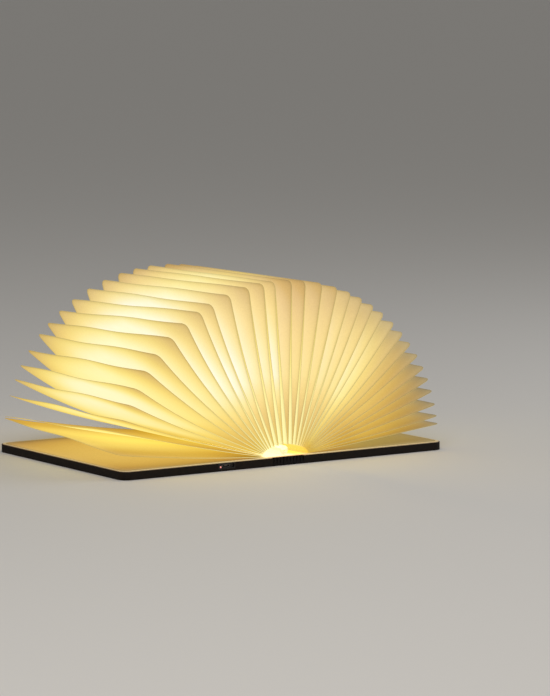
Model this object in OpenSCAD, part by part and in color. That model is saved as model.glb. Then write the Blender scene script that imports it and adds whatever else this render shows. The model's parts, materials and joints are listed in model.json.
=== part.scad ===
// Folding book lamp, lying open at 180 degrees on the outer faces of its two covers.
// X runs across both covers, Y along the spine, away from the end with the charging port, and Z up.
// The origin is on the floor under the middle of the spine.

/* [Closed book] */
// Closed width, from the back of the spine to the fore edge
closed_w = 170; // [158:1:182]
// Height of the book along its spine
book_h = 215; // [204:1:230]
// Closed thickness over both covers
closed_t = 25; // [24:0.5:27]
// Thickness of one cover with its liner
cover_t = 7.5; // [7.3:0.1:8]
// Radius of the covers' two fore-edge corners
corner_r = 9.5; // [6:0.5:13]

/* [Cover] */
// Thickness of the liner board that closes each cover's pockets
liner_t = 0.5; // [0.3:0.1:0.8]
// Margin of the liner inside the cover's edge
liner_margin = 1; // [0.5:0.1:2]
// Wood left under the pockets
pocket_floor = 1.7; // [1.6:0.1:1.8]
// Play between a pocket and what lies in it
pocket_gap = 0.4; // [0.2:0.1:0.8]

/* [Spine hinge] */
// Turn at each hinge line, a fifth of a quarter turn
step_angle = 18; // [18]
// Depth of the hinge lines below the outer face
hinge_depth = 1.2; // [1:0.1:1.4]
// Saw kerf between neighbouring strips
kerf = 0.1; // [0.06:0.02:0.2]
// Slope of a strip's sides beyond half the turn
side_relief = 0.8; // [0.5:0.1:1.2]
// Length of a lens-shaped slit along a hinge line
slit_len = 58; // [40:1:62]
// Widest opening of a slit
slit_w = 0.7; // [0.4:0.1:0.9]
// Bridge left between two slits in one line
slit_bridge = 8; // [5:0.5:12]
// Thickness of the cloth that joins the strips on the inside
cloth_t = 0.3; // [0.2:0.05:0.4]
// Width of the cloth's glued edge on the liner
cloth_lap = 4; // [2:0.5:8]

/* [Paper] */
// Leaves on the left of the spine
left_leaves = 15; // [15]
// Leaves on the right of the spine
right_leaves = 18; // [18]
// Thickness of the paper
paper_t = 0.12; // [0.1:0.01:0.13]
// Width of one panel, from inner fold to outer fold
panel_w = 148; // [134:1:148]
// Length of the folds
paper_len = 205; // [190:1:208]
// Radius of the paper's outer corners
page_r = 6; // [4:0.5:12]
// Half width of the arch that the inner folds stand on
arch_half_w = 27.5; // [26:0.5:29]
// Height of that arch over the covers
arch_h = 9.5; // [9:0.1:12]
// First left leaf, degrees from upright
left_first = 3.8; // [3.5:0.1:6]
// Last left leaf, degrees from upright
left_last = 84.6; // [82:0.1:86]
// How far the left leaves crowd towards their cover
left_crowding = 0.08; // [0:0.01:0.15]
// First right leaf, degrees from upright
right_first = 2.3; // [1:0.1:3]
// Last right leaf, degrees from upright
right_last = 85; // [83:0.1:86]
// How far the right leaves crowd towards their cover
right_crowding = 0.13; // [0:0.01:0.15]
// Belly of a leaf at 45 degrees, hanging below its chord
belly = 4.5; // [0:0.1:6]
// Share of an inner fold's half pitch that a leaf keeps clear
fold_clear = 0.1; // [0.06:0.01:0.2]
// Bare liner between the last inner fold and the glued end of a flap
flap_set = 5; // [3:0.5:10]
// How far the glued flap ends short of the leaves' reach
flap_trim = 3; // [2:0.5:6]

/* [Light bar] */
// Length of the light bar
bar_len = 200; // [180:1:204]
// Play between the light bar and the curled spine
bar_gap = 0.6; // [0.5:0.05:0.8]
// Width of the keel that is glued to the middle strip
keel_w = 1.1; // [0.9:0.1:1.2]
// Wall of the aluminium channel at its rim
channel_wall = 1.2; // [1:0.1:1.3]
// Height of the channel's rim over the covers
rim_h = 6.5; // [6:0.1:6.8]
// Height of the channel's floor over the covers
floor_h = 3.1; // [2.9:0.1:3.3]
// Thickness of the diffuser
diffuser_t = 0.8; // [0.6:0.1:1]
// Top of the diffuser over the covers
diffuser_h = 8.8; // [8.4:0.1:9]
// Play of the diffuser in the channel
diffuser_gap = 0.1; // [0.05:0.05:0.2]
// Thickness of the light bar's circuit board
led_board_t = 1; // [0.8:0.1:1.2]
// Size of one light chip across and along the bar
chip = [2.8, 3.5, 0.7]; // [0.5:0.1:6]
// Spacing of the chips along the bar
chip_pitch = 8; // [6:0.5:12]

/* [Charging port] */
// Distance of the port from the middle of the spine
port_x = 66.7; // [60:0.1:72]
// Width of the port's bezel
bezel_w = 17.6; // [16.5:0.1:20]
// Depth of the bezel behind the cover's edge
bezel_depth = 4.5; // [4:0.1:6]
// Wall of the bezel round its recess
bezel_wall = 0.7; // [0.6:0.1:0.8]
// Depth of the recess
recess_depth = 1.6; // [1.2:0.1:2]
// Width of the socket's metal shell
socket_w = 7.5; // [7:0.1:7.8]
// Height of the socket's metal shell
socket_h = 2.6; // [2.4:0.1:2.7]
// Length of the socket's metal shell
socket_len = 5.6; // [5:0.1:6.5]
// Sheet of the socket's metal shell
socket_sheet = 0.3; // [0.2:0.05:0.35]
// Width of the socket's contact tongue
tongue_w = 4; // [3:0.1:5]
// Play between the socket and the bezel
socket_gap = 0.15; // [0.1:0.05:0.25]
// Thickness of the socket's contact tongue
tongue_t = 0.6; // [0.5:0.05:0.7]
// Diameter of the charge light's pipe
pipe_d = 1.4; // [1.2:0.1:1.6]
// Distance of the charge light from the middle of the port
pipe_x = 5.8; // [5.4:0.1:6.2]
// How far the charge light stands out of the recess's floor
pipe_out = 0.4; // [0.2:0.1:1]
// Play of the charge light's pipe in the bezel
pipe_gap = 0.02; // [0.01:0.01:0.05]

/* [Electronics] */
// Battery pack, across, along and through the cover
battery = [60, 95, 4.5]; // [3:0.5:110]
// Middle of the battery, from the middle of the spine
battery_x = 95; // [92:1:102]
// Middle of the battery along the spine
battery_y = 2; // [-4:1:8]
// Control board, across, along and through the cover
board = [28, 26, 1]; // [0.8:0.1:32]
// Width of the flat lead to the light bar
lead_w = 6; // [4:0.5:8]
// Thickness of the flat lead
lead_t = 0.3; // [0.2:0.05:0.4]
// Diameter of the battery's two wires
wire_d = 1.2; // [0.8:0.1:1.5]

/* [Magnets] */
// Closing magnet, across, along and through the cover
magnet = [5, 18, 2.5]; // [1.5:0.5:20]
// Distance of a closing magnet from the fore edge
magnet_edge = 4; // [3.5:0.5:8]
// Distance of a closing magnet from the middle, along the spine
magnet_y = 76; // [60:1:84]
// Diameter of the switch magnet
switch_d = 4; // [3:0.5:5]

/* [Hidden] */
$fn = 64;
eps = 0.01;
per_side = 4;
leaves = left_leaves + right_leaves;
shell_t = cover_t - liner_t;

// The strips curl into five equal turns a side; these sums give the curled spine's size for a pitch of 1.
curl_w = 0.5 + cos(step_angle) + cos(2 * step_angle) + cos(3 * step_angle) + cos(4 * step_angle);
curl_h = sin(step_angle) + sin(2 * step_angle) + sin(3 * step_angle) + sin(4 * step_angle);
pitch = (closed_t / 2 - hinge_depth) / curl_w;
curl_z = hinge_depth + pitch / 2 / tan(step_angle / 2);
curl_r = curl_z - cover_t;
last_hinge = (per_side + 0.5) * pitch;
half_w = closed_w - hinge_depth - pitch * curl_h + last_hinge;
side_angle = step_angle / 2 + side_relief;
outer_slope = hinge_depth * tan(side_angle);

// Reach of the outer folds, sideways and up
reach_w = arch_half_w + panel_w;
reach_h = arch_h + panel_w;
leaf_steps = 6;
plan_steps = 8;

// Light bar
bar_r = curl_r - bar_gap;
channel_half = bar_r - channel_wall;
board_seat = cover_t + floor_h;
rim_z = cover_t + rim_h;
leg_z = board_seat + led_board_t + chip[2] + 0.4;

// Port and board, in the left cover
front = -book_h / 2;
bezel_h = shell_t - pocket_floor;
board_z = pocket_floor + 0.2;
board_y = front + bezel_depth + 0.2 + board[1] / 2;
socket_y = front + recess_depth;
socket_z = board_z + board[2];
pipe_z = pocket_floor + bezel_wall + pipe_d / 2 + 0.2;
lead_y = board_y + 4;
lead_end = port_x - board[0] / 2 + 4;
slot_h = lead_t + 0.3;

// Parts on the control board: charger chip, coil, sensor and the plug of the battery's wires
charger = [5, 5, 1];
coil = [4, 4, 2.2];
sensor = [3, 1.6, 1.1];
wire_plug = [7, 4, 3.2];
part_gap = 4;
sensor_in = [5, 4];
battery_front = battery_y - battery[1] / 2;
plug_x = port_x + board[0] / 2 - wire_plug[0] / 2 - 1;
wire_apart = 3;
wire_x = [plug_x - wire_apart / 2, plug_x + wire_apart / 2];

function two(n) = str(n < 10 ? "0" : "", n);
function leaf_name(i) = str("leaf_", two(i));
function strip_name(i) = i == 0 ? "spine_strip" : str(i < 0 ? "left" : "right", "_strip_", abs(i));

// Rest angle of leaf i from upright; the leaves are counted from the left cover to the right cover.
function spread(first, last, f, crowd) = first + (last - first) * (f + crowd * f * (1 - f));
function leaf_angle(i) =
    i < 1 ? -90 :
    i > leaves ? 90 :
    i <= left_leaves ? -spread(left_first, left_last, (left_leaves - i) / (left_leaves - 1), left_crowding) :
    spread(right_first, right_last, (i - left_leaves - 1) / (right_leaves - 1), right_crowding);

// Points of the arch of inner folds and of the fan of outer folds, at an angle from upright
function arch_point(a) = [arch_half_w * sin(a), cover_t + arch_h * cos(a)];
function fan_point(a) = [reach_w * sin(a), cover_t + reach_h * cos(a)];
function across(a) = [cos(a), -sin(a)];

// Draws an X-Z outline and extrudes it along the spine, centred on y.
module along_spine(len, y = 0) {
    translate([0, y + len / 2, 0]) rotate([90, 0, 0]) linear_extrude(len) children();
}

// Sheet in the X-Y plane from x = 0 to w, with its two corners at w rounded.
module page_outline(w, len, r) {
    translate([0, -len / 2]) square([w - r, len]);
    translate([0, r - len / 2]) square([w, len - 2 * r]);
    for (s = [-1, 1]) translate([w - r, s * (len / 2 - r)]) circle(r);
}

// The same sheet with flat-sided corners, which keep paper-thin walls sound
function leaf_plan(w, len, r) = let (turn = [for (k = [0 : plan_steps]) 90 * k / plan_steps]) concat(
    [[0, -len / 2]],
    [for (t = turn) [w - r + r * sin(t), r - len / 2 - r * cos(t)]],
    [for (t = turn) [w - r + r * cos(t), len / 2 - r + r * sin(t)]],
    [[0, len / 2]]
);

// Rectangle in X-Z with rounded corners, lower left corner at the origin.
module rounded_rect(w, h, r) {
    translate([r, 0]) square([w - 2 * r, h]);
    translate([0, r]) square([w, h - 2 * r]);
    for (x = [r, w - r], z = [r, h - r]) translate([x, z]) circle(r);
}

// A block centred in X and Y, standing on z.
module block(size, x, y, z) {
    translate([x - size[0] / 2, y - size[1] / 2, z]) cube(size);
}

// Half of a lens-shaped slit, opening towards +X from its hinge line.
function lens_half(len, w) = [for (k = [0 : 10]) let (s = k / 5 - 1) [w * (1 - s * s), s * len / 2]];

// The slits along one hinge line; every second line is staggered by half a period.
module slits(line) {
    period = slit_len + slit_bridge;
    shift = line % 2 == 0 ? 0 : period / 2;
    count = ceil(book_h / 2 / period);
    for (k = [-count : count]) translate([0, k * period + shift, -eps])
        linear_extrude(cover_t + 2 * eps) polygon(concat(
            lens_half(slit_len, slit_w / 2),
            [for (p = lens_half(slit_len, slit_w / 2)) if (p[0] > eps) [-p[0], -p[1]]]
        ));
}

// One strip of the curling spine, widest at its hinge lines and tapered to both faces.
module strip(i) {
    half = (pitch - kerf) / 2;
    inner_slope = (cover_t - hinge_depth) * tan(side_angle);
    outline = [
        [half - outer_slope, 0], [half, hinge_depth], [half - inner_slope, cover_t],
        [inner_slope - half, cover_t], [-half, hinge_depth], [outer_slope - half, 0]
    ];
    color([0.33, 0.19, 0.1]) difference() {
        translate([i * pitch, 0, 0]) along_spine(book_h) polygon(outline);
        for (side = [-1, 1]) translate([(i + side / 2) * pitch, 0, 0])
            slits(abs(i + side / 2) - 0.5);
        if (i <= 0) lead_slot();
        if (i == 0) lead_shaft();
    }
}

// Way of the flat lead through the hinge, at the depth of the hinge lines, and up through the middle.
module lead_slot() {
    wide = lead_w + 2 * pocket_gap;
    translate([-last_hinge - eps, lead_y - wide / 2, hinge_depth - slot_h / 2])
        cube([last_hinge + eps + slot_h / 2, wide, slot_h]);
}

module lead_shaft() {
    wide = lead_w + 2 * pocket_gap;
    translate([-slot_h / 2, lead_y - wide / 2, hinge_depth - slot_h / 2])
        cube([slot_h, wide, board_seat]);
}

// A cover's board, drawn for the right side: plan outline, tapered hinge edge, square fore edge.
module cover_board() {
    x0 = last_hinge + kerf / 2;
    inner_slope = (shell_t - hinge_depth) * tan(side_angle);
    outline = [
        [x0 + outer_slope, 0], [half_w, 0], [half_w, shell_t],
        [x0 + inner_slope, shell_t], [x0, hinge_depth]
    ];
    intersection() {
        linear_extrude(shell_t) page_outline(half_w, book_h, corner_r);
        along_spine(book_h) polygon(outline);
    }
}

// Pocket for something of this size, open to the inner face and closed by the liner.
module pocket(size, x, y, z = pocket_floor) {
    block([size[0] + 2 * pocket_gap, size[1] + 2 * pocket_gap, cover_t - z], x, y, z);
}

module magnet_pockets(side) {
    for (s = [-1, 1])
        pocket(magnet, side * magnet_x(), s * magnet_y, shell_t - magnet[2]);
}

function magnet_x() = half_w - magnet_edge - magnet[0] / 2;

module closing_magnets(side) {
    for (s = [-1, 1]) block(magnet, side * magnet_x(), s * magnet_y, shell_t - magnet[2]);
}

// Place of the switch magnet, opposite the sensor on the control board when the book is closed
function sensor_x() = port_x - board[0] / 2 + sensor_in[0];
function sensor_y() = board_y + board[1] / 2 - sensor_in[1];

module left_cover() {
    groove = lead_w + 2 * pocket_gap;
    color([0.33, 0.19, 0.1]) difference() {
        mirror([1, 0, 0]) cover_board();
        pocket(battery, -battery_x, battery_y);
        translate([-port_x, 0, 0]) pocket(board, 0, board_y);
        // Wire way between the two pockets
        translate([-wire_x[1] - wire_d, board_y, pocket_floor])
            cube([wire_x[1] - wire_x[0] + 2 * wire_d, battery_front - board_y, cover_t]);
        // Mouth of the port, open to the inner face
        translate([-port_x - bezel_w / 2, front - eps, pocket_floor])
            cube([bezel_w, bezel_depth + 0.5 + eps, cover_t]);
        // Groove of the flat lead
        translate([-lead_end - 1, lead_y - groove / 2, hinge_depth - slot_h / 2])
            cube([lead_end + 1, groove, cover_t]);
        magnet_pockets(-1);
    }
}

module right_cover() {
    color([0.33, 0.19, 0.1]) difference() {
        cover_board();
        magnet_pockets(1);
        translate([sensor_x(), sensor_y(), shell_t - magnet[2]])
            cylinder(h = cover_t, d = switch_d + 2 * pocket_gap);
    }
}

// Liner board, drawn for the right side
function liner_x() = last_hinge + 1.5 * kerf + (cover_t - hinge_depth) * tan(side_angle);

module liner_board() {
    color([0.93, 0.88, 0.76]) translate([liner_x(), 0, shell_t]) linear_extrude(liner_t)
        page_outline(half_w - liner_margin - liner_x(), book_h - 2 * liner_margin, corner_r - liner_margin);
}

module left_liner() {
    mirror([1, 0, 0]) liner_board();
}

module right_liner() {
    liner_board();
}

// Cloth that lies over the strips and the liner's edge and holds them together, drawn for the right side
module hinge_cloth() {
    x0 = keel_w / 2 + pocket_gap / 2;
    color([0.86, 0.8, 0.68]) translate([x0, liner_margin - book_h / 2, cover_t])
        cube([liner_x() + cloth_lap - x0, book_h - 2 * liner_margin, cloth_t]);
}

module left_hinge_cloth() {
    mirror([1, 0, 0]) hinge_cloth();
}

module right_hinge_cloth() {
    hinge_cloth();
}

// Glued end of the folded paper, drawn for the right side
module end_flap() {
    x0 = arch_half_w + flap_set;
    color([0.98, 0.95, 0.86]) translate([x0, 0, cover_t]) linear_extrude(paper_t)
        page_outline(reach_w - flap_trim - x0, paper_len, page_r);
}

module left_end_flap() {
    mirror([1, 0, 0]) end_flap();
}

module right_end_flap() {
    end_flap();
}

// One V-shaped leaf: two panels that meet at the outer fold and open towards the arch.
module leaf(i) {
    a = leaf_angle(i);
    low = a - (a - leaf_angle(i - 1)) / 2 * (1 - fold_clear);
    high = a + (leaf_angle(i + 1) - a) / 2 * (1 - fold_clear);
    hang = sign(a) * belly * sin(2 * abs(a));
    w = paper_t * across(a);
    up = [sin(a), cos(a)];
    tip = fan_point(a);
    crease = tip - 2 * paper_t * up;
    // A panel's edge from the arch to the fold, hanging below its chord
    function edge(p, q) = [for (k = [0 : leaf_steps]) let (s = k / leaf_steps)
        p + s * (q - p) + 4 * s * (1 - s) * hang * across(a)];
    function back(points) = [for (k = [len(points) - 1 : -1 : 0]) points[k]];
    lower = edge(arch_point(low), tip - w);
    upper = edge(arch_point(high), tip + w);
    lower_in = edge(arch_point(low) + w, crease);
    upper_in = edge(arch_point(high) - w, crease);
    outline = concat(lower, back(upper), upper_in, [for (k = [leaf_steps - 1 : -1 : 0]) lower_in[k]]);
    color([0.98, 0.94, 0.8]) intersection() {
        along_spine(paper_len) polygon(outline);
        translate([0, 0, cover_t]) rotate([0, a - 90, 0]) translate([0, 0, -4 * arch_h])
            linear_extrude(8 * arch_h)
                polygon(leaf_plan((tip - [0, cover_t]) * up + paper_t / 2, paper_len + 2 * eps, page_r));
    }
}

// Aluminium channel with a round back that the strips curl round, on a keel
module led_channel() {
    color([0.75, 0.76, 0.78]) difference() {
        along_spine(bar_len) {
            intersection() {
                translate([0, curl_z]) circle(bar_r);
                translate([-bar_r, cover_t]) square([2 * bar_r, curl_z - cover_t]);
            }
            translate([-bar_r, curl_z - eps]) square([2 * bar_r, rim_z - curl_z + eps]);
            translate([-keel_w / 2, cover_t]) square([keel_w, curl_r / 2]);
        }
        block([2 * channel_half, bar_len + 2, cover_t], 0, 0, board_seat);
        lead_shaft();
    }
}

module led_strip() {
    wide = 2 * channel_half - 0.2;
    count = floor((bar_len - 12) / 2 / chip_pitch);
    color([0.9, 0.9, 0.85]) {
        block([wide, bar_len - 4, led_board_t], 0, 0, board_seat);
        for (k = [-count : count])
            block(chip, 0, k * chip_pitch, board_seat + led_board_t);
    }
}

// Domed diffuser, its legs inside the channel, with closed ends
module diffuser() {
    leg = channel_half - diffuser_gap;
    dome_r = bar_r - 0.2;
    top = cover_t + diffuser_h;
    module dome(r) {
        intersection() {
            translate([0, top - dome_r]) circle(r);
            translate([-r, rim_z]) square([2 * r, top]);
        }
    }
    color([1, 0.97, 0.88]) {
        difference() {
            union() {
                along_spine(bar_len) dome(dome_r);
                along_spine(bar_len) translate([-leg, leg_z]) square([2 * leg, rim_z - leg_z + eps]);
            }
            along_spine(bar_len - 2 * diffuser_t) {
                dome(dome_r - diffuser_t);
                translate([diffuser_t - leg, leg_z - eps])
                    square([2 * (leg - diffuser_t), rim_z - leg_z + 2 * eps]);
            }
        }
    }
}

module battery_pack() {
    color([0.45, 0.5, 0.6]) {
        block(battery, -battery_x, battery_y, pocket_floor + 0.1);
        for (x = wire_x) translate([-x, battery_front, pocket_floor + 0.1 + battery[2] / 2])
            rotate([90, 0, 0]) cylinder(h = battery_front - board_y - board[1] / 2 - 0.1, d = wire_d);
    }
}

// Circuit board with charger chip, coil, sensor, battery plug and charging socket
module control_board() {
    top = board_z + board[2];
    color([0.1, 0.35, 0.2]) {
        block(board, -port_x, board_y, board_z);
        block(charger, -port_x + part_gap, board_y + 1, top);
        block(coil, -port_x - part_gap, board_y + 1, top);
        block(sensor, -sensor_x(), sensor_y(), top);
        block(wire_plug, -plug_x, board_y + (board[1] - wire_plug[1]) / 2, top);
    }
    charging_socket();
}

// Metal shell with chamfered lower corners, open to the front, and the contact tongue in it
module charging_socket() {
    function shell_outline(w, h, c) = [
        [-w / 2 + c, 0], [w / 2 - c, 0], [w / 2, c], [w / 2, h], [-w / 2, h], [-w / 2, c]
    ];
    inner_h = socket_h - 2 * socket_sheet;
    color([0.7, 0.7, 0.72]) translate([-port_x, socket_y, socket_z]) {
        difference() {
            translate([0, socket_len, 0]) rotate([90, 0, 0]) linear_extrude(socket_len)
                polygon(shell_outline(socket_w, socket_h, 0.9));
            translate([0, socket_len - 1, socket_sheet]) rotate([90, 0, 0]) linear_extrude(socket_len)
                polygon(shell_outline(socket_w - 2 * socket_sheet, inner_h, 0.8));
        }
        translate([-tongue_w / 2, 0.6, socket_sheet + inner_h / 2])
            cube([tongue_w, socket_len - 1, tongue_t]);
    }
}

// Bezel with openings for the socket and the charge light
module port_bezel() {
    recess_w = bezel_w - 2 * bezel_wall;
    recess_h = bezel_h - 2 * bezel_wall;
    color([0.05, 0.05, 0.05]) translate([-port_x, 0, pocket_floor]) difference() {
        translate([0, front + bezel_depth, 0]) rotate([90, 0, 0]) linear_extrude(bezel_depth)
            translate([-bezel_w / 2, 0]) square([bezel_w, bezel_h]);
        translate([0, front + recess_depth, 0]) rotate([90, 0, 0]) linear_extrude(recess_depth + 1)
            translate([-recess_w / 2, bezel_wall]) rounded_rect(recess_w, recess_h, 1.2);
        translate([0, front + bezel_depth + 1, 0]) rotate([90, 0, 0]) linear_extrude(bezel_depth + 1)
            translate([-socket_w / 2 - socket_gap, socket_z - pocket_floor - socket_gap])
                square([socket_w + 2 * socket_gap, socket_h + 2 * socket_gap]);
        translate([-pipe_x, front + bezel_depth + 1, pipe_z - pocket_floor]) rotate([90, 0, 0])
            cylinder(h = bezel_depth + 1, d = pipe_d + 2 * pipe_gap);
    }
}

module charge_light() {
    color([1, 0.6, 0.55]) translate([-port_x - pipe_x, front + bezel_depth, pipe_z])
        rotate([90, 0, 0]) cylinder(h = bezel_depth - recess_depth + pipe_out, d = pipe_d);
}

// Flat lead from under the control board, through the strips, up to the light bar's board
module flex_lead() {
    under = board_z - lead_t;
    low = hinge_depth - lead_t / 2;
    function run(up) = [[-lead_end, under + up], [-lead_end + 3, under + up], [-lead_end + 5, low + up]];
    color([0.8, 0.5, 0.2]) along_spine(lead_w, lead_y) polygon(concat(
        run(0), [[lead_t / 2, low], [lead_t / 2, board_seat], [-lead_t / 2, board_seat]],
        [[-lead_t / 2, low + lead_t]], [for (k = [2 : -1 : 0]) run(lead_t)[k]]
    ));
}

module left_magnets() {
    color([0.6, 0.6, 0.62]) closing_magnets(-1);
}

module right_magnets() {
    color([0.6, 0.6, 0.62]) {
        closing_magnets(1);
        translate([sensor_x(), sensor_y(), shell_t - magnet[2]]) cylinder(h = magnet[2], d = switch_d);
    }
}

for (i = [-per_side : per_side]) strip(i);
left_cover();
right_cover();
left_liner();
right_liner();
left_end_flap();
right_end_flap();
battery_pack();  // battery
control_board();
port_bezel();
charge_light();
flex_lead();
left_magnets();
right_magnets();
led_channel();
led_strip();
diffuser();
left_hinge_cloth();
right_hinge_cloth();
for (i = [1 : leaves]) leaf(i);
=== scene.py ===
import bpy, json
import numpy as np
from math import sin, cos, pi, radians
from mathutils import Vector, Matrix


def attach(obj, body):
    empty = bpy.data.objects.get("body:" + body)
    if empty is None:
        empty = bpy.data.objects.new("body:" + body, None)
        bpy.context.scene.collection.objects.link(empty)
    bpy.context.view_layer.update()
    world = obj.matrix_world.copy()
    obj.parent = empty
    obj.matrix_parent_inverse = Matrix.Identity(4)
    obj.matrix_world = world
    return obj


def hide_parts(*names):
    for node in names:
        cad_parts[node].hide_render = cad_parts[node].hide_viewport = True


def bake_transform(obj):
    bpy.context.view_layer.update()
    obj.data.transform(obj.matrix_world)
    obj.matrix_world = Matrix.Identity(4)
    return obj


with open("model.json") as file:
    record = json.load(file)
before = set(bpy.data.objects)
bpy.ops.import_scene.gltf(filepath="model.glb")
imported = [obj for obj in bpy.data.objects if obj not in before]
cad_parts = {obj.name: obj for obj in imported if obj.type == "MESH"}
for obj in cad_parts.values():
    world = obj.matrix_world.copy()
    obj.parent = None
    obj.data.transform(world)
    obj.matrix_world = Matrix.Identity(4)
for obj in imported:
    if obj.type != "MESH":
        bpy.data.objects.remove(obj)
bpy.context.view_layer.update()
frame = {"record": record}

joints = {j["name"]: j for j in frame["record"]["behaviour"]["joints"]}


def linear(r, g, b):                      # screen colour 0-255 to linear
    return tuple((c / 255 / 12.92) if c < 11 else ((c / 255 + 0.055) / 1.055) ** 2.4 for c in (r, g, b))


def paint(r, g, b):
    return (*linear(r, g, b), 1.0)


# shader maths
class Val:                                # one socket in an expression
    def __init__(self, finish, socket):
        self.finish, self.socket = finish, socket

    def join(self, op, a, b=None, clamp=False):
        values = {0: a} if b is None else {0: a, 1: b}
        return self.finish.node("Math", {"operation": op, "use_clamp": clamp}, values)

    def __add__(self, o): return self.join("ADD", self, o)
    def __radd__(self, o): return self.join("ADD", o, self)
    def __sub__(self, o): return self.join("SUBTRACT", self, o)
    def __rsub__(self, o): return self.join("SUBTRACT", o, self)
    def __mul__(self, o): return self.join("MULTIPLY", self, o)
    def __rmul__(self, o): return self.join("MULTIPLY", o, self)
    def __truediv__(self, o): return self.join("DIVIDE", self, o)
    def __rtruediv__(self, o): return self.join("DIVIDE", o, self)
    def __gt__(self, o): return self.join("GREATER_THAN", self, o)
    def __lt__(self, o): return self.join("LESS_THAN", self, o)
    def absolute(self): return self.join("ABSOLUTE", self)
    def sine(self): return self.join("SINE", self)
    def cosine(self): return self.join("COSINE", self)
    def fade(self, length): return self.join("EXPONENT", self * (-1.0 / length))
    def clipped(self): return self.join("ADD", self, 0.0, clamp=True)


class Finish:                             # a material and its nodes
    def __init__(self, name, **constants):
        self.mat = bpy.data.materials.new(name)
        self.mat.use_nodes = True
        self.tree = self.mat.node_tree
        self.shader = self.tree.nodes["Principled BSDF"]
        for key, value in constants.items():
            self.shader.inputs[key.replace("_", " ")].default_value = value

    def node(self, kind, settings=None, sockets=None, out=0):     # out=None gives all its outputs
        n = self.tree.nodes.new("ShaderNode" + kind)
        for key, value in (settings or {}).items():
            if key == "stops":
                ramp = n.color_ramp
                while len(ramp.elements) < len(value):
                    ramp.elements.new(0.5)
                for e, (place, colour) in zip(ramp.elements, value):
                    e.position, e.color = place, colour
            else:
                setattr(n, key, value)
        for key, value in (sockets or {}).items():
            if isinstance(value, Val):
                self.tree.links.new(value.socket, n.inputs[key])
            else:
                n.inputs[key].default_value = value
        return [Val(self, o) for o in n.outputs] if out is None else Val(self, n.outputs[out])

    def attribute(self, name, out="Fac"):
        return self.node("Attribute", {"attribute_name": name}, out=out)

    def place(self, out="Object"):        # a point of the surface, in metres
        return self.node("TexCoord", out=out)

    def split(self, vector):
        return self.node("SeparateXYZ", None, {0: vector}, out=None)

    def stretched(self, scale):
        return self.node("VectorMath", {"operation": "MULTIPLY"}, {0: self.place(), 1: scale})

    def millimetres(self):                # x, y and z of the surface
        return self.split(self.stretched((1000, 1000, 1000)))

    def noise(self, scale, vector=None, detail=3.0, rough=0.5, warp=0.0):
        return self.node("TexNoise", {"noise_dimensions": "3D"}, {
            "Vector": vector or self.place(), "Scale": scale, "Detail": detail, "Roughness": rough,
            "Distortion": warp})

    def ramp(self, value, *stops):
        return self.node("ValToRGB", {"stops": stops}, {0: value})

    def tones(self, value, dark, light):  # between two paints, over the range that a noise covers
        return self.ramp(value, (0.3, paint(*dark)), (0.7, paint(*light)))

    def mix(self, factor, a, b, blend="MIX"):                     # sockets 6, 7 and 2 are its colours
        return self.node("Mix", {"data_type": "RGBA", "blend_type": blend}, {0: factor, 6: a, 7: b}, out=2)

    def bump(self, height, strength=0.3, distance=0.0003):
        return self.node("Bump", None, {"Strength": strength, "Distance": distance, "Height": height})

    def feed(self, **sockets):
        for key, value in sockets.items():
            self.tree.links.new(value.socket, self.shader.inputs[key.replace("_", " ")])
        return self.mat


# materials: noise scales in waves per metre, limits in mm, or in metres where they stand as a default
wood = dict(figure=((0.28, (58, 33, 20)), (0.42, (92, 56, 34)), (0.55, (112, 71, 44)), (0.7, (136, 90, 58))),
            across=34.0, along=2.6, bend=3.2, streak=(420, 9, 420), streakShare=0.55,
            pore=(1500, 45, 1500), poreShare=0.6, char=((10, 4, 0), (25, 14, 4)), spineChar=(4, 1, 3),
            spineHalf=17.0)


def walnutFinish():                       # grain along the spine, cut sides charred, darkest at the spine
    f = Finish("walnut_with_charred_edge", Coat_Roughness=0.45, Specular_IOR_Level=0.25)
    x, y, z = f.split(f.place())
    bend = f.noise(9.0, f.stretched((1, 0.35, 1)), 2.0)
    grainAt = f.node("CombineXYZ", None, {0: x * wood["across"] + bend * wood["bend"],
                                          1: y * wood["along"], 2: z * wood["across"]})
    figure = f.noise(1.0, grainAt, 4.0, 0.55, 0.6)
    streak = f.noise(1.0, f.stretched(wood["streak"]), 3.0, 0.6)
    pores = f.noise(1.0, f.stretched(wood["pore"]), 2.0, 0.6)
    streaks = f.ramp(streak, (0.3, (0.42, 0.36, 0.32, 1)), (0.65, (1.12, 1.08, 1.02, 1)))
    poreDots = f.ramp(pores, (0.36, (0.3, 0.25, 0.22, 1)), (0.46, (1, 1, 1, 1)))
    grain = f.ramp(figure, *[(at, paint(*tone)) for at, tone in wood["figure"]])
    grain = f.mix(wood["streakShare"], grain, streaks, "MULTIPLY")
    grain = f.mix(wood["poreShare"], grain, poreDots, "MULTIPLY")
    upright = f.split(f.place("Normal"))[2]
    face = ((upright * upright - 0.55) * 6.0).clipped()           # 1 on the two broad faces
    spine = (1.0 - ((x.absolute() * 1000.0 - wood["spineHalf"]) * 2.0).clipped()) * 0.75
    char = f.mix(spine, f.tones(f.noise(260.0, None, 3.0, 0.6), *wood["char"]), paint(*wood["spineChar"]))
    return f.feed(Base_Color=f.mix(face, char, grain), Roughness=0.72 - face * 0.22 + pores * 0.08,
                  Coat_Weight=face * 0.12, Normal=f.bump(pores * 0.6 + streak * 0.4, 0.25, 0.00025))


liner = dict(board=((206, 190, 152), (233, 219, 184)), warm=(255, 221, 140), unlit=(92, 72, 40),
             paperLightFrom=14.0, paperLightReach=46.0)


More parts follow.
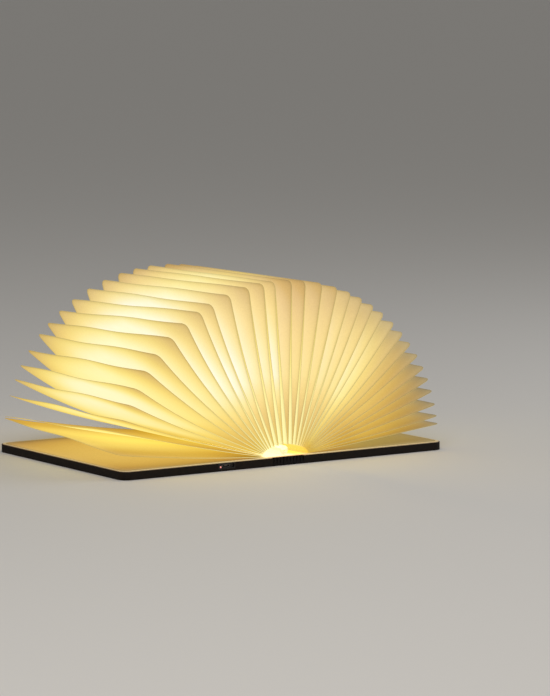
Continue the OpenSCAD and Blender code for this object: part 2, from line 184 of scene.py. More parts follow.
def linerFinish():                        # cream board with short fibres, with painted light from the glowing paper over it as its glow
    f = Finish("liner_board", Roughness=0.85, Emission_Strength=0.35)
    fibre = f.noise(900.0, f.stretched((1, 0.5, 1)), 4.0, 0.6)
    cloud = f.noise(14.0, None, 2.0)
    x, y, z = f.millimetres()
    # painted light from the paper, strongest near the middle and fading outwards
    paperLight = (x.absolute() - liner["paperLightFrom"]).fade(liner["paperLightReach"])
    glow = f.mix((paperLight * (0.75 + cloud * 0.4)).clipped(), paint(*liner["unlit"]), paint(*liner["warm"]))
    return f.feed(Base_Color=f.tones(fibre, *liner["board"]), Emission_Color=glow,
                  Normal=f.bump(fibre, 0.2, 0.0001))


sheet = dict(pulp=((142, 128, 88), (156, 142, 102)), foldShadeWidth=1.3, foldShade=0.42, fibreShade=0.07,
             cloudShade=0.07, green=1.03)


def paperFinish():                        # translucent white paper; its glow from the light bar is painted in as emission, with painted shade along its folds
    f = Finish("lamp_paper", Roughness=0.8, Emission_Strength=0.78)
    glow = f.attribute("glow", "Color")
    edge = f.attribute("edge")            # distance from the sheet's outline in mm
    fibre = f.noise(700.0, None, 4.0, 0.6)
    cloud = f.noise(60.0, None, 3.0)
    even = 1.0 - sheet["fibreShade"]
    # painted shade: darker lines along each sheet's folds and ends
    shade = (1.0 - edge.fade(sheet["foldShadeWidth"]) * sheet["foldShade"]) * (
        even + fibre * sheet["fibreShade"] + cloud * sheet["cloudShade"])
    shades = f.node("CombineColor", None, {0: shade, 1: shade * sheet["green"], 2: shade})
    return f.feed(Base_Color=f.tones(fibre, *sheet["pulp"]),
                  Emission_Color=f.mix(1.0, glow, shades, "MULTIPLY"),
                  Normal=f.bump(fibre * 0.5 + cloud * 0.5, 0.15, 0.0002))


cloth = dict(thread=9.0, low=(196, 178, 140), high=(226, 210, 174), outside=(196, 142, 74),
             white=(255, 242, 186), orange=(250, 200, 66), orangeFrom=4.0, orangeOver=8.0, litTo=102.0)


def clothFinish():                        # woven hinge cloth; its glow is painted light from the bar, more orange on its right side
    f = Finish("hinge_cloth_weave", Roughness=0.9, Emission_Strength=1.0)
    x, y, z = f.millimetres()
    weave = ((x * cloth["thread"]).sine() * (y * cloth["thread"]).sine() + 1.0) * 0.5
    inside = 1.0 - ((y.absolute() - cloth["litTo"]) / 4.0).clipped()
    orange = ((x - cloth["orangeFrom"]) / cloth["orangeOver"]).clipped()
    underBar = f.mix(orange, paint(*cloth["white"]), paint(*cloth["orange"]))
    glow = f.mix(inside, paint(*cloth["outside"]), underBar)
    return f.feed(Base_Color=f.mix(weave, paint(*cloth["low"]), paint(*cloth["high"])), Emission_Color=glow,
                  Normal=f.bump(weave, 0.4, 0.0001))


strip = dict(pitch=8.0, between=(255, 226, 132), overChip=(255, 246, 190), orange=(250, 200, 60),
             orangeFrom=1.0, orangeOver=6.0, body=((238, 226, 196), (246, 236, 208)))


def diffuserFinish():                     # frosted strip, brighter over each light chip
    f = Finish("frosted_diffuser", Roughness=0.45, Emission_Strength=1.1)
    x, y, z = f.millimetres()
    beat = (y * (2 * pi / strip["pitch"])).cosine() * 0.12 + 0.6
    orange = ((x - strip["orangeFrom"]) / strip["orangeOver"]).clipped()
    overChips = f.mix(beat, paint(*strip["between"]), paint(*strip["overChip"]))
    glow = f.mix(orange, overChips, paint(*strip["orange"]))
    return f.feed(Base_Color=f.tones(f.noise(300.0), *strip["body"]), Emission_Color=glow,
                  Normal=f.bump(f.noise(1200.0), 0.1, 0.00005))


def anodisedFinish():                     # extruded channel, drawn lines along the bar, and painted light from the bar as its glow
    f = Finish("anodised_channel", Metallic=1.0, Emission_Strength=0.8)
    lines = f.noise(1.0, f.stretched((2600, 12, 2600)), 3.0, 0.6)
    return f.feed(Base_Color=f.tones(lines, (176, 178, 182), (206, 207, 210)), Roughness=0.3 + lines * 0.2,
                  # painted light from the light bar on the channel
                  Emission_Color=f.tones(lines, (236, 206, 130), (252, 234, 164)),
                  Normal=f.bump(lines, 0.2, 0.00005))


def chipFinish(boardTop=0.01162):         # white board, with yellow chips above boardTop
    f = Finish("light_chips", Roughness=0.4, Emission_Strength=3.0)
    x, y, z = f.split(f.place())
    chip = z > boardTop
    grain = f.noise(800.0)
    board = f.tones(grain, (226, 226, 220), (240, 240, 234))
    dark = f.mix(grain, paint(0, 0, 0), paint(6, 5, 3))
    return f.feed(Base_Color=f.mix(chip, board, paint(250, 214, 96)),
                  Emission_Color=f.mix(chip, dark, paint(255, 226, 150)),
                  Normal=f.bump(grain, 0.1, 0.00003))


def blackFinish():                        # moulded bezel with fine spark texture
    f = Finish("black_moulding", Coat_Roughness=0.3)
    spark = f.noise(2600.0, None, 2.0, 0.7)
    return f.feed(Base_Color=f.tones(f.noise(240.0, None, 3.0), (14, 14, 15), (27, 26, 27)),
                  Roughness=0.34 + spark * 0.2, Normal=f.bump(spark, 0.25, 0.00003))


def boardFinish(boardTop=0.00292, socketFrom=-0.1002):            # green board, dark chips, metal socket darkened with painted shade of its recess
    f = Finish("control_board", Coat_Roughness=0.2)
    x, y, z = f.split(f.place())
    high = z > boardTop
    metal = high * (y < socketFrom)
    tracks = f.node("TexVoronoi", {"feature": "DISTANCE_TO_EDGE", "distance": "MANHATTAN"},
                    {"Vector": f.place(), "Scale": 420.0})
    board = f.mix(tracks < 0.12, paint(22, 84, 52), paint(44, 118, 70))
    tops = f.mix(f.noise(500.0) > 0.52, paint(28, 28, 30), paint(46, 46, 50))
    # socket metal darkened as painted shade inside its recess
    steelInShade = f.tones(f.noise(1.0, f.stretched((3000, 120, 3000))), (92, 92, 94), (128, 128, 128))
    return f.feed(Base_Color=f.mix(metal, f.mix(high, board, tops), steelInShade), Metallic=metal,
                  Roughness=0.45 - metal * 0.15, Normal=f.bump(tracks, 0.2, 0.00004))


def foilFinish(wiresFrom=-0.0456, redFrom=-0.0760):               # battery pouch, and wires by place
    f = Finish("battery_foil", Roughness=0.35)
    x, y, z = f.split(f.place())
    wire = y < wiresFrom
    creased = f.noise(90.0, None, 4.0, 0.6, 0.8)
    pouch = f.tones(creased, (116, 128, 150), (158, 168, 186))
    wires = f.mix(x > redFrom, paint(30, 28, 28), paint(170, 32, 26))
    return f.feed(Base_Color=f.mix(wire, pouch, wires), Metallic=0.6 - wire * 0.6,
                  Normal=f.bump(creased, 0.4, 0.0004))


def platingFinish():                      # nickel plate with fine scratches
    f = Finish("magnet_plating", Metallic=1.0)
    scratch = f.noise(1.0, f.stretched((300, 3000, 300)), 3.0)
    return f.feed(Base_Color=f.tones(scratch, (150, 150, 154), (190, 190, 194)),
                  Roughness=0.22 + scratch * 0.25, Normal=f.bump(scratch, 0.1, 0.00003))


def filmFinish(tracks=4.2):               # amber film over copper tracks, in radians per mm
    f = Finish("amber_film_lead", Coat_Weight=0.4)
    x, y, z = f.millimetres()
    track = (y * tracks).sine() > 0.2
    return f.feed(Base_Color=f.mix(track, paint(176, 104, 38), paint(206, 132, 62)),
                  Roughness=0.32 + f.noise(600.0) * 0.1)


def pipeFinish():                         # charge light, pinkish while charging
    f = Finish("charge_light", Roughness=0.25, Emission_Strength=1.0)
    haze = f.noise(1500.0)
    return f.feed(Base_Color=f.tones(haze, (236, 170, 160), (250, 200, 190)),
                  Emission_Color=f.tones(haze, (190, 100, 90), (226, 140, 124)))


walnut, linerBoard, lampPaper, hingeWeave = walnutFinish(), linerFinish(), paperFinish(), clothFinish()
frosted, anodised, chips, blackPlastic = diffuserFinish(), anodisedFinish(), chipFinish(), blackFinish()
circuit, foil, plating, film = boardFinish(), foilFinish(), platingFinish(), filmFinish()
chargeGlow = pipeFinish()
print("materials ready")

# CAD nodes that stay
dress = {"spine_strip": walnut, "left_cover": walnut, "right_cover": walnut, "left_liner": linerBoard,
         "right_liner": linerBoard, "battery": foil, "control_board": circuit, "port_bezel": blackPlastic,
         "left_magnets": plating, "right_magnets": plating, "led_channel": anodised, "led_strip": chips,
         "diffuser": frosted, "charge_light": chargeGlow,
         **{f"{s}_strip_{k}": walnut for s in ("left", "right") for k in range(1, 5)}}
softEdge = {"left_cover": 0.35, "right_cover": 0.35, "port_bezel": 0.15, "battery": 0.4, "led_channel": 0.12}
rounded = dict(weldWithin=0.000002, steps=2, sharpFrom=40)        # metres, rows of faces, degrees
for name, material in dress.items():
    node = bpy.data.objects[name]
    node.data.materials.clear()
    node.data.materials.append(material)
    if name in softEdge:
        weld = node.modifiers.new("weld", "WELD")
        weld.merge_threshold = rounded["weldWithin"]
        rounding = node.modifiers.new("rounding", "BEVEL")
        rounding.width, rounding.segments = softEdge[name] / 1000, rounded["steps"]
        rounding.limit_method, rounding.angle_limit = "ANGLE", radians(rounded["sharpFrom"])
        rounding.harden_normals = False
print("CAD nodes dressed")


# folded paper, in mm and degrees
paper = dict(panel=148.0, length=205.0, corner=6.0, thick=0.12, reachWide=175.5, reachHigh=157.5, base=7.5,
             archWide=25.5, archHigh=10.0, bunch=45.0, bunchWithin=25.0, bunchShare=0.75, drift=4.5,
             leftBelly=5.2, rightBelly=2.6, clear=0.1, wave=0.35, sway=0.35,
             left=(3.8, 84.6, 15, 0.08), right=(2.3, 85.0, 18, 0.13))   # first, last, count, crowding
leafCount = paper["left"][2] + paper["right"][2]
# how far each leaf's front and back corner lean to the right of the even fan, in degrees
frontLean = [-0.4, 1.4, -0.1, -0.4, -0.5, 0.2, 0.8, 2.0, 2.6, 2.7, 1.4, 2.0, 2.8, 2.0, -0.2,
             -0.3, -0.8, 0, 0.5, 0.6, 0.2, 0.1, -0.2, 0.1, 0.2, 0.2, 0.5, 0.8, 0.7, 0.6, 1.0, 0.7, -0.8]
backLean = [3.3, -1.5, 0.3, 0.4, -0.1, -0.1, 0.6, -0.4, -0.6, -0.7, -0.2, -0.1, 0, -0.5, -1.4,
            -1.2, -1.6, -1.6, -1.0, -0.7, -0.5, -0.4, -0.3, -0.2, 0, 0, 0.2, 0.3, 0.3, 0.2, 0.4, 0.3, -0.3]


def leafAngle(i):                         # degrees from upright, left is negative
    onLeft = paper["left"][2]
    if i < 1: return -90.0
    if i > leafCount: return 90.0
    first, last, count, crowding = paper["left"] if i <= onLeft else paper["right"]
    f = (onLeft - i) / (count - 1) if i <= onLeft else (i - onLeft - 1) / (count - 1)
    angle = first + (last - first) * (f + crowding * f * (1 - f))
    return -angle if i <= onLeft else angle


def archPoint(a):                         # inner folds: few over the light bar, many bunched at its sides
    b = np.degrees(a) + paper["drift"] * (1 - (2 * a / pi) ** 2)
    bunched = radians(paper["bunch"] * np.tanh(b / paper["bunchWithin"]) + (1 - paper["bunch"] / 90) * b)
    lay = bunched * paper["bunchShare"] + a * (1 - paper["bunchShare"])
    return np.array([paper["archWide"] * sin(lay), paper["base"] + paper["archHigh"] * cos(lay)])


def fanPoint(a):                          # outer folds, also for an array of angles
    return np.stack([paper["reachWide"] * np.sin(a), paper["base"] + paper["reachHigh"] * np.cos(a)], -1)


# a sheet's rows are these distances from its outer fold, its columns lie along the spine at these
# distances from the nearest end, and both crowd at the outline; those before cornerZone follow the corner
fromFold = np.array([148, 143, 136, 126, 114, 100, 85, 70, 56, 44, 33, 24, 17, 12, 9, 7.2, 6, 5, 3.9,
                     2.8, 1.8, 0.9, 0.0])
nearEnd = [0, 0.6, 1.4, 2.6, 4.2, 6, 9, 13, 18, 25, 34, 45, 58, 72, 87]
endGap = np.array(nearEnd + [paper["length"] / 2] + nearEnd[::-1])
endSign = np.array([-1] * len(nearEnd) + [0] + [1] * len(nearEnd))
cornerZone = 20


def sheetOutline(rise):                   # y of a sheet's points, their distances to its end and its outline
    full, corner = paper["length"] / 2, paper["corner"]
    inRound = np.clip(corner - rise, 0, None)
    halfLength = (full - corner + np.sqrt(corner ** 2 - inRound ** 2))[:, None]
    y = np.where(endGap >= cornerZone, full - endGap, 0)[None, :] + np.zeros((len(rise), 1))
    outer = endGap < cornerZone
    y[:, outer] = full - cornerZone + (1 - endGap[outer] / cornerZone) * (halfLength - full + cornerZone)
    front = halfLength - y
    dx, dy = inRound[:, None] + 0 * y, np.clip(y - (full - corner), 0, None)
    edge = np.minimum(rise[:, None] + 0 * y, front)
    edge = np.where((dx > 0) & (dy > 0), corner - np.hypot(dx, dy), edge)
    return y * endSign, front, np.clip(edge, 0, None)


def smooth(t):
    t = np.clip(t, 0, 1)
    return t * t * (3 - 2 * t)


def past(value, start, over):             # 0 up to start, 1 from start + over
    return smooth((value - start) / over)


def near(distance, reach):                # 1 at the place, fading with the distance from it
    return np.exp(-distance / reach)


def around(value, middle, width):         # 1 at the middle, fading both ways
    return np.exp(-((value - middle) / width) ** 2)


def mixColours(t, stops):                 # colour at t from (place, colour) stops, even between them
    t = np.asarray(t)[..., None]
    result = np.zeros(t.shape[:-1] + (3,)) + np.array(linear(*stops[0][1]))
    for (a, first), (b, second) in zip(stops, stops[1:]):
        u = np.clip((t - a) / (b - a), 0, 1)
        result = np.where(t >= a, np.array(linear(*first)) * (1 - u) + np.array(linear(*second)) * u, result)
    return result


# lit paper from its creases to its hottest parts, by the level of its green on a scale of 0 to 255
paperTones = [(70, (96, 70, 40)), (114, (152, 114, 65)), (140, (180, 140, 76)), (165, (204, 165, 88)),
              (178, (212, 178, 104)), (190, (222, 190, 112)), (208, (236, 208, 118)),
              (220, (244, 220, 127)), (232, (250, 232, 146)), (240, (253, 240, 168)),
              (246, (254, 246, 190)), (252, (255, 251, 214))]
# how much lighter or darker each leaf is than its neighbours
leafShade = [0, 0, -3, 2, 7, -3, 3, 0, 5, 4, 5, -2, -9, -3, 12, -8, 1, 2, -4, 1, -8, -3, 10, 9, 0, -5, -8, 0,
             -2, 2, 4, 1, -5]
# a panel's outer face: its level, and what each place on it adds
lit = dict(middle=244, corner=-62, lowerHalf=-52, wideGap=-7, tip=-22, upper=32, foot=42, end=10, endBand=-25,
           left=-8, footLeft=-29, right=8, footRight=18, endRight=-20, tipRight=37, upperRight=-46,
           top=-15, topUpper=-21, shoulder=12, faceUp=-72, lowLeaf=-16)
# how far those places reach, in mm from the outer fold, the arch or the end, and in degrees of the leaf:
# one number fades out, two are where it starts and over how much, or its middle and width
spans = dict(tip=14, upper=45, foot=22, end=8, endBand=30, gapBand=20, usualGap=5.5, lowerHalf=(78, 62),
             cornerFront=75, cornerRise=10, cornerMore=32, cornerMoreFront=30, cornerPower=1.25,
             toRight=(20, 50), toLeft=(15, 50), top=(8, 12), shoulder=(-20, 28), shoulderRise=(82, 34),
             faceUp=(35, 44), faceUpTip=(0, 40), faceUpFoot=(90, 50), lowLeaf=(62, 20), lowest=(76, 8),
             yellow=(66, 14), white=(-64, 42), whiteMiddle=(40, 60), grey=(-2, 56), greyLow=(42, 34),
             greyRise=24, greyPower=1.25)
faceUpShare = dict(tip=0.62, middle=0.38, foot=-0.8)
# the lowest left leaf, in its neighbours' shade
lowestLit = dict(middle=150, inner=46, centre=22, tip=30, upper=-9, foot=-54)
lowestSpans = dict(inner=(22, 40), centre=(60, 30), centreRise=(0, 60), tip=3, tipFront=40, upper=15,
                   foot=(95, 40), footFront=12)
# how much blue the white parts gain and the others lose, and the grey of the tips on the right
tint = dict(white=0.85, whiteFoot=0.9, whiteTip=0.6, whiteEnd=0.6, whiteMiddle=0.65, yellow=0.36,
            yellowGreen=0.03, foot=0.3, footLeft=0.4,
            greyShare=0.92, greyTips=(172, 156, 126), lowGreyTips=(118, 112, 98))
inner = dict(middle=236, foot=16, footFrom=(30, 90), end=-12, endReach=12,
             orange=(0, 0.36, 0.9), orangeFrom=(4, 40), orangeRise=(128, 16))


def lowestLevel(rise, front):
    shade, at = lowestLit, lowestSpans
    level = shade["middle"] + shade["inner"] * past(front, *at["inner"])
    level = level + shade["centre"] * past(front, *at["centre"]) * past(rise, *at["centreRise"])
    level = level + shade["tip"] * near(rise, at["tip"]) * near(front, at["tipFront"])
    level = level + shade["upper"] * near(rise, at["upper"])
    return level + shade["foot"] * past(rise, *at["foot"]) * near(front, at["footFront"])


def outerGlow(i, side, rise, front):      # rise from the outer fold and front from the nearest end, in mm
    angle, at = leafAngle(i), spans
    over = angle * -side                  # above 0 where the face looks up, below 0 where it looks down
    toRight, toLeft = past(angle, *at["toRight"]), past(-angle, *at["toLeft"])
    tip, upper = near(rise, at["tip"]), near(rise, at["upper"])
    foot = near(paper["panel"] - rise, at["foot"])
    gap = abs(leafAngle(i + side) - angle)
    depth = at["cornerRise"] + at["cornerMore"] * near(front, at["cornerMoreFront"])
    corner = np.exp(-front / at["cornerFront"] - (rise / depth) ** at["cornerPower"])
    level = lit["middle"] + leafShade[i - 1] + lit["left"] * toLeft + lit["corner"] * corner
    level = level + lit["lowerHalf"] * past(rise, *at["lowerHalf"]) + lit["tip"] * tip + lit["upper"] * upper
    level = level + lit["wideGap"] * (gap / at["usualGap"] - 1) * near(front, at["gapBand"])
    level = level + (lit["foot"] + lit["footLeft"] * toLeft + lit["footRight"] * toRight) * foot
    level = level + (lit["end"] + lit["endRight"] * toRight) * near(front, at["end"])
    level = level + lit["endBand"] * near(front, at["endBand"])
    level = level + (lit["top"] + lit["topUpper"] * upper) * around(angle, *at["top"])
    level = level + toRight * (lit["right"] + lit["tipRight"] * tip + lit["upperRight"] * upper)
    level = level + lit["shoulder"] * around(angle, *at["shoulder"]) * around(rise, *at["shoulderRise"])
    faceUp = faceUpShare["tip"] + faceUpShare["middle"] * past(rise, *at["faceUpTip"])
    faceUp = faceUp + faceUpShare["foot"] * past(rise, *at["faceUpFoot"])
    level = level + lit["faceUp"] * past(over, *at["faceUp"]) * faceUp
    level = level + lit["lowLeaf"] * past(over, *at["lowLeaf"])
    lowest = past(over, *at["lowest"]) if angle < 0 else 0
    level = level * (1 - lowest) + lowestLevel(rise, front) * lowest
    yellow = past(abs(angle), *at["yellow"])
    white = past(-abs(angle), *at["white"]) * (1 - tint["whiteFoot"] * foot) * (1 - tint["whiteTip"] * tip)
    white = white * (1 - tint["whiteEnd"] * near(front, at["end"]))
    white = white * (1 - tint["whiteMiddle"] * past(front, *at["whiteMiddle"]))
    blue = (1 - tint["yellow"] * yellow) * (1 + tint["white"] * white)
    blue = blue * (1 - (tint["foot"] + tint["footLeft"] * toLeft) * foot)
    colour = mixColours(level, paperTones)
    colour = colour * np.stack([1 + 0 * blue, 1 - tint["yellowGreen"] * yellow + 0 * blue, blue], -1)
    if over > 0 and side < 0:             # the tips on the right are grey, hardly lit
        grey = tint["greyShare"] * past(over, *at["grey"])
        grey = grey * np.exp(-(rise / at["greyRise"]) ** at["greyPower"])
        low = past(over, *at["greyLow"])
        greyTone = np.array(linear(*tint["greyTips"])) * (1 - low)
        greyTone = greyTone + np.array(linear(*tint["lowGreyTips"])) * low
        colour = colour * (1 - grey[..., None]) + grey[..., None] * greyTone
    return colour


def innerGlow(i, rise, front):            # inside a leaf, open to the light bar, more orange on the right
    level = inner["middle"] + inner["foot"] * past(rise, *inner["footFrom"])
    level = level + inner["end"] * near(front, inner["endReach"])
    orange = past(leafAngle(i), *inner["orangeFrom"]) * past(rise, *inner["orangeRise"])
    return mixColours(level, paperTones) * (1 - orange[..., None] * np.array(inner["orange"]))


def thinSheet(name, middle, thick, finish, extra=None):
    # a closed sheet about the grid of points middle, in mm, with extra values on its two faces
    rows, columns = middle.shape[:2]
    normal = np.cross(np.gradient(middle, axis=0), np.gradient(middle, axis=1))
    normal *= thick / 2 / (np.linalg.norm(normal, axis=2, keepdims=True) + 1e-12)
    count = rows * columns
    points = np.concatenate([(middle + normal).reshape(-1, 3), (middle - normal).reshape(-1, 3)]) / 1000
    index = np.arange(count).reshape(rows, columns)
    top = np.stack([index[:-1, :-1], index[1:, :-1], index[1:, 1:], index[:-1, 1:]], -1).reshape(-1, 4)
    rim = np.concatenate([index[0, :-1], index[:-1, -1], index[-1, :0:-1], index[:0:-1, 0]])
    after = np.roll(rim, -1)
    rimFaces = np.stack([rim, after, after + count, rim + count], -1)
    faces = np.concatenate([top, top[:, ::-1] + count, rimFaces])
    mesh = bpy.data.meshes.new(name)
    mesh.from_pydata(points.tolist(), [], faces.tolist())
    for key, (front, back) in (extra or {}).items():
        coloured = np.ndim(front) == 3
        data = mesh.attributes.new(key, "FLOAT_COLOR" if coloured else "FLOAT", "POINT")
        both = np.concatenate([np.reshape(v, (count, -1)) for v in (front, back)])
        if coloured:
            both = np.concatenate([both, np.ones((count * 2, 1))], 1)
        data.data.foreach_set("color" if coloured else "value", both.astype(np.float32).ravel())
    mesh.polygons.foreach_set("use_smooth", [True] * (len(top) * 2) + [False] * len(rimFaces))
    mesh.materials.append(finish)
    mesh.update()
    piece = bpy.data.objects.new(name, mesh)
    bpy.context.collection.objects.link(piece)
    return piece


def panelGrid(i, side):                   # a panel's middle surface, its distances to outline, fold and end
    angle = leafAngle(i)
    a, half = radians(angle), paper["thick"] / 2
    foot = a + (radians(leafAngle(i + side)) - a) / 2 * (1 - paper["clear"])
    across, up = np.array([cos(a), -sin(a)]), np.array([sin(a), cos(a)])
    start = archPoint(foot) - side * across * half
    belly = (-paper["leftBelly"] if angle < 0 else paper["rightBelly"]) * sin(2 * abs(a))
    y, front, edge = sheetOutline(fromFold)
    s = (1 - fromFold / paper["panel"])[:, None]
    back = y / paper["length"] + 0.5      # 0 at the front end, 1 at the back end
    sway = paper["sway"] * np.sin(y / 24 + i * 2.3) * np.sin(pi * back)
    lean = a + np.radians(frontLean[i - 1] * (1 - back) + backLean[i - 1] * back + sway)
    end = fanPoint(lean) + side * across * half - up * half
    ripple = paper["wave"] * (np.sin(y / 31 + i * 1.7) + 0.6 * np.sin(y / 17 + i * 2.9 + s * 3))
    hang = 4 * s * (1 - s) * (belly + ripple)
    points = start + s[..., None] * (end - start) + hang[..., None] * across
    grid = np.stack([points[..., 0], y, points[..., 1]], -1)
    return grid, edge, fromFold[:, None] + 0 * y, front


# the closed book: where the panels stand side by side, and how closely each part of them is held to it
closed = dict(spacing=0.24, panelGap=0.06, innerHalf=4.6, innerFrom=20, footFrom=136, footCare=0.4,
              foldTo=4, foldCare=2.0, beyondCare=3, rounds=14, step=0.7, leastSlope=0.05, leastOff=0.15)


def closingTurn(i, side, grid, rise):     # blend from spine to leaf that best lays a panel flat when closed
    target = (i - (leafCount + 1) / 2) * closed["spacing"] + side * closed["panelGap"]
    flat = grid[..., [0, 2]].reshape(-1, 2)
    columns = np.column_stack([np.ones(len(flat)), flat])
    care = np.where(rise.ravel() > closed["footFrom"], closed["footCare"], 1.0)
    care = np.where(rise.ravel() < closed["foldTo"], closed["foldCare"], care)
    best = (1e9, None, None)
    for j in range(1, i + 1) if i <= paper["left"][2] else range(i, leafCount + 1):
        place = joints[f"leaf_{j:02d}_turn"]["pos_m"]
        centre, full = np.array([place[0], place[2]]) * 1000, radians(leafAngle(j))
        d = flat - centre
        reach = np.hypot(d[:, 0], d[:, 1])
        swing = np.arccos(np.clip((target - centre[0]) / reach, -1, 1))
        w = np.clip((swing - np.arctan2(d[:, 1], d[:, 0])) / full, 0.002, 0.995)
        t = 0.5 - np.sin(np.arcsin(1 - 2 * w) / 3)     # a point's share of the way where it turns by w
        weight = reach * np.clip(6 * t * (1 - t), 0.02, None)
        fit = np.linalg.lstsq(columns * weight[:, None], t * weight, rcond=None)[0]
        for turning in range(closed["rounds"]):
            t = np.clip(columns @ fit, 0, 1)
            turn = smooth(t) * full
            off = d[:, 0] * np.cos(turn) - d[:, 1] * np.sin(turn) + centre[0] - target
            height = d[:, 0] * np.sin(turn) + d[:, 1] * np.cos(turn)
            beyond = np.clip(abs(off + target) - closed["innerHalf"], 0, None)
            beyond = beyond * (height + centre[1] > closed["innerFrom"])
            fault = (abs(off * care) + 2 * beyond).max()
            if fault < best[0]:
                best = (fault, j, fit)
            weight = care * np.sqrt(abs(off * care) + closed["leastOff"])
            weight = weight * (1 + closed["beyondCare"] * np.clip(beyond, 0, 1))
            slope = -height * full * np.clip(6 * t * (1 - t), closed["leastSlope"], None)
            slope = (slope * weight)[:, None] * columns
            square = slope.T @ slope + np.eye(3) * 1e-9
            fit = fit - closed["step"] * np.linalg.solve(square, slope.T @ (off * weight))
    fault, j, fit = best
    size = fit[1:] @ fit[1:]
    begin = -fit[0] * fit[1:] / size
    finish = begin + fit[1:] / size
    return f"leaf_{j:02d}", (begin[0] / 1000, 0, begin[1] / 1000), (finish[0] / 1000, 0, finish[1] / 1000)


for i in range(1, leafCount + 1):
    node = f"leaf_{i:02d}"
    for side, word in ((-1, "low"), (1, "high")):
        grid, edge, rise, front = panelGrid(i, side)
        glow = (outerGlow(i, side, rise, front), innerGlow(i, rise, front))[::-side]
        piece = thinSheet(f"{node}_{word}", grid, paper["thick"], lampPaper,
                          {"glow": glow, "edge": (edge, edge)})
        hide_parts(node)
        body, begin, end = closingTurn(i, side, grid, rise)
        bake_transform(piece)
print("paper leaves folded:", leafCount)

# glued end flaps of the same sheet, lying on the liners
flap = dict(start=28.0, trim=3.0, rise=0.07, lift=0.5, liftFrom=36, liftOver=7, wave=0.12, waveFrom=12,
            level=152, levelArch=26, levelEnd=-64, levelEdge=-8, levelRight=-50, tint=(1.0, 0.93, 0.8),
            rightShade=(104, 92, 68), rightShadeShare=0.85)
for sign, side in ((-1, "left"), (1, "right")):
    reach = paper["reachWide"] - flap["trim"]
    rise = fromFold / paper["panel"] * (reach - flap["start"])
    y, front, edge = sheetOutline(rise)
    x = reach - rise[:, None] + 0 * y
    swell = flap["wave"] * (1 + np.sin(x / 13 + y / 19) * np.sin(y / 23 + 1.3))
    swell = swell * np.clip(edge / flap["waveFrom"], 0, 1)
    curlUp = flap["lift"] * np.clip((flap["liftFrom"] - x) / flap["liftOver"], 0, 1) ** 2
    grid = np.stack([sign * x, y * sign, paper["base"] + flap["rise"] + swell + curlUp], -1)
    # painted light on the end page: brighter towards the arch, with painted shade at its end, its edge and on
    # the right
    level = flap["level"] + flap["levelArch"] * near(x - flap["start"], 50)
    level = level + flap["levelEnd"] * near(front, 22) + flap["levelEdge"] * near(edge, 5)
    if side == "right":
        level = level + flap["levelRight"] * past(x, 50, 90)
    colours = mixColours(level, paperTones) * np.array(flap["tint"])
    if side == "right":
        # painted shade over the right end page, away from the light
        rightShade = past(x, 40, 80)[..., None] * flap["rightShadeShare"]
        colours = colours * (1 - rightShade) + rightShade * np.array(linear(*flap["rightShade"]))
    piece = thinSheet(f"{side}_end_page", grid, paper["thick"], lampPaper,
                      {"glow": (colours, colours), "edge": (edge, edge)})
    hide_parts(f"{side}_end_flap")
    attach(piece, f"{side}_cover")
print("end pages laid")

# hinge cloth, in lengths laid across the hinge lines
hinge = dict(pitch=3.57949, strips=4, keel=0.75, clothLow=7.5, clothThick=0.3, clothEnd=21.35,
             clothHalf=106.5)
lastHinge = (hinge["strips"] + 0.5) * hinge["pitch"]


def clothLength(name, x0, x1, z, across=9, along=25):             # from x0 to x1 at height z
    x = np.linspace(x0, x1, across)[:, None] + np.zeros((1, along))
    y = np.linspace(-hinge["clothHalf"], hinge["clothHalf"], along)[None, :] + np.zeros((across, 1))
    y = y[:, ::-1] if x1 < x0 else y
    return thinSheet(name, np.stack([x, y, z + 0 * x], -1), hinge["clothThick"], hingeWeave)


for sign, side in ((-1, "left"), (1, "right")):
    middles = [hinge["keel"]] + [k * hinge["pitch"] for k in range(1, hinge["strips"] + 1)]
    z = hinge["clothLow"] + hinge["clothThick"] / 2
    for k in range(hinge["strips"]):      # from the middle of one strip to the middle of the next
        piece = clothLength(f"{side}_hinge_tape_{k + 1}", sign * middles[k], sign * middles[k + 1], z)
        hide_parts(f"{side}_hinge_cloth")
        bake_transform(piece)
    for word, start, end, body in (("end", middles[-1], lastHinge, f"{side}_strip_4"),
                                   ("lap", lastHinge, hinge["clothEnd"], f"{side}_cover")):
        piece = clothLength(f"{side}_hinge_tape_{word}", sign * start, sign * end, z)
        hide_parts(f"{side}_hinge_cloth")
        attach(piece, body)
print("hinge cloth laid")

# flat lead, cut at the hinge lines it passes through
lead = dict(wide=6.0, thick=0.3, middle=-85.8, level=1.2, seat=10.6, elbow=0.6,
            flatTo=-50.7, step=0.55, stepFrom=-51.7, stepLong=2, end=-56.7)


def leadPiece(name, route, body, across=9):            # route of (x, z) along the lead's middle
    route = np.array(route, float)
    y = lead["middle"] + np.linspace(-0.5, 0.5, across) * lead["wide"]
    grid = np.stack([np.tile(route[:, :1], across), np.tile(y, (len(route), 1)),
                     np.tile(route[:, 1:], across)], -1)
    piece = thinSheet(name, grid, lead["thick"], film)
    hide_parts("flex_lead")
    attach(piece, body)


low = lead["level"]
shaft = [(0, z) for z in np.linspace(lead["seat"], low + lead["elbow"], 8)]
elbow = [(-0.25 * lead["elbow"], low + 0.3 * lead["elbow"]), (-lead["elbow"], low)]
leadPiece("lead_shaft", shaft + elbow + [(-hinge["pitch"] / 2, low)], "spine")
for k in range(1, hinge["strips"] + 1):
    span = np.linspace(k - 0.5, k + 0.5, 4) * -hinge["pitch"]
    leadPiece(f"lead_through_strip_{k}", [(x, low) for x in span], f"left_strip_{k}")
flat = [(x, low) for x in np.linspace(-lastHinge, lead["flatTo"], 8)]
rising = [(lead["stepFrom"] - lead["stepLong"] * t, low + lead["step"] * smooth(t))
          for t in np.linspace(0, 1, 7)]
leadPiece("lead_to_board", flat + rising + [(lead["end"], low + lead["step"])], "left_cover")
print("lead laid")

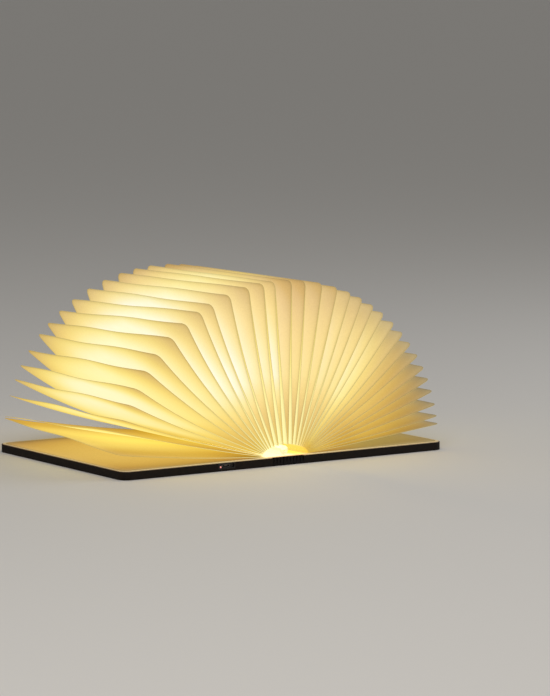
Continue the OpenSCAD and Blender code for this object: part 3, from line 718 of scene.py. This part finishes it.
# stage, light, camera
stage = dict(floor=(0.74, 0.72, 0.69), floorHalf=60, floorDrop=0.0004, world=(0.60, 0.59, 0.57),
             worldPower=0.42, aim=(0, 0, 0.05),
             keyPlace=(-1.1, -1.4, 1.9), keySize=1.6, keyPower=24.0, keyColour=(1.0, 0.97, 0.93),
             fillPlace=(1.6, -0.6, 1.2), fillSize=1.4, fillPower=9.0, fillColour=(0.95, 0.97, 1.0))
floorMesh = bpy.data.meshes.new("floor")
floorCorners = [(x * stage["floorHalf"], y * stage["floorHalf"], -stage["floorDrop"])
                for x, y in ((-1, -1), (1, -1), (1, 1), (-1, 1))]
floorMesh.from_pydata(floorCorners, [], [(0, 1, 2, 3)])
floor = bpy.data.objects.new("floor", floorMesh)
bpy.context.collection.objects.link(floor)
floorMesh.materials.append(Finish("pale_floor", Roughness=0.75, Base_Color=(*stage["floor"], 1)).mat)

world = bpy.data.worlds.new("studio")
bpy.context.scene.world = world
world.use_nodes = True
background = world.node_tree.nodes["Background"]
background.inputs["Color"].default_value = (*stage["world"], 1)
background.inputs["Strength"].default_value = stage["worldPower"]


def softbox(name):                        # a round lamp turned towards the part
    data = bpy.data.lights.new(name, "AREA")
    data.shape, data.size = "DISK", stage[name + "Size"]
    data.energy, data.color = stage[name + "Power"], stage[name + "Colour"]
    lamp = bpy.data.objects.new(name, data)
    lamp.location = stage[name + "Place"]
    towards = Vector(stage["aim"]) - Vector(stage[name + "Place"])
    lamp.rotation_euler = towards.to_track_quat("-Z", "Y").to_euler()
    bpy.context.collection.objects.link(lamp)


softbox("key")
softbox("fill")

shot = dict(place=(-1.7365, -2.5780, 0.4506), yaw=34.862, down=6.528, roll=0.2497, lens=176.08, sensor=36,
            nearest=0.05, farthest=200)
yaw, down, roll = (radians(shot[k]) for k in ("yaw", "down", "roll"))
ahead = Vector((sin(yaw) * cos(down), cos(yaw) * cos(down), -sin(down)))
right = Vector((cos(yaw), -sin(yaw), 0))
above = right.cross(ahead)
right, above = right * cos(roll) + above * sin(roll), above * cos(roll) - right * sin(roll)
lensData = bpy.data.cameras.new("camera")
lensData.lens, lensData.sensor_width, lensData.sensor_fit = shot["lens"], shot["sensor"], "AUTO"
lensData.clip_start, lensData.clip_end = shot["nearest"], shot["farthest"]
camera = bpy.data.objects.new("camera", lensData)
camera.matrix_world = Matrix.Translation(shot["place"]) @ Matrix((right, above, -ahead)).transposed().to_4x4()
bpy.context.collection.objects.link(camera)
bpy.context.scene.camera = camera
bpy.context.scene.view_settings.view_transform = "Standard"
print("stage and camera set")
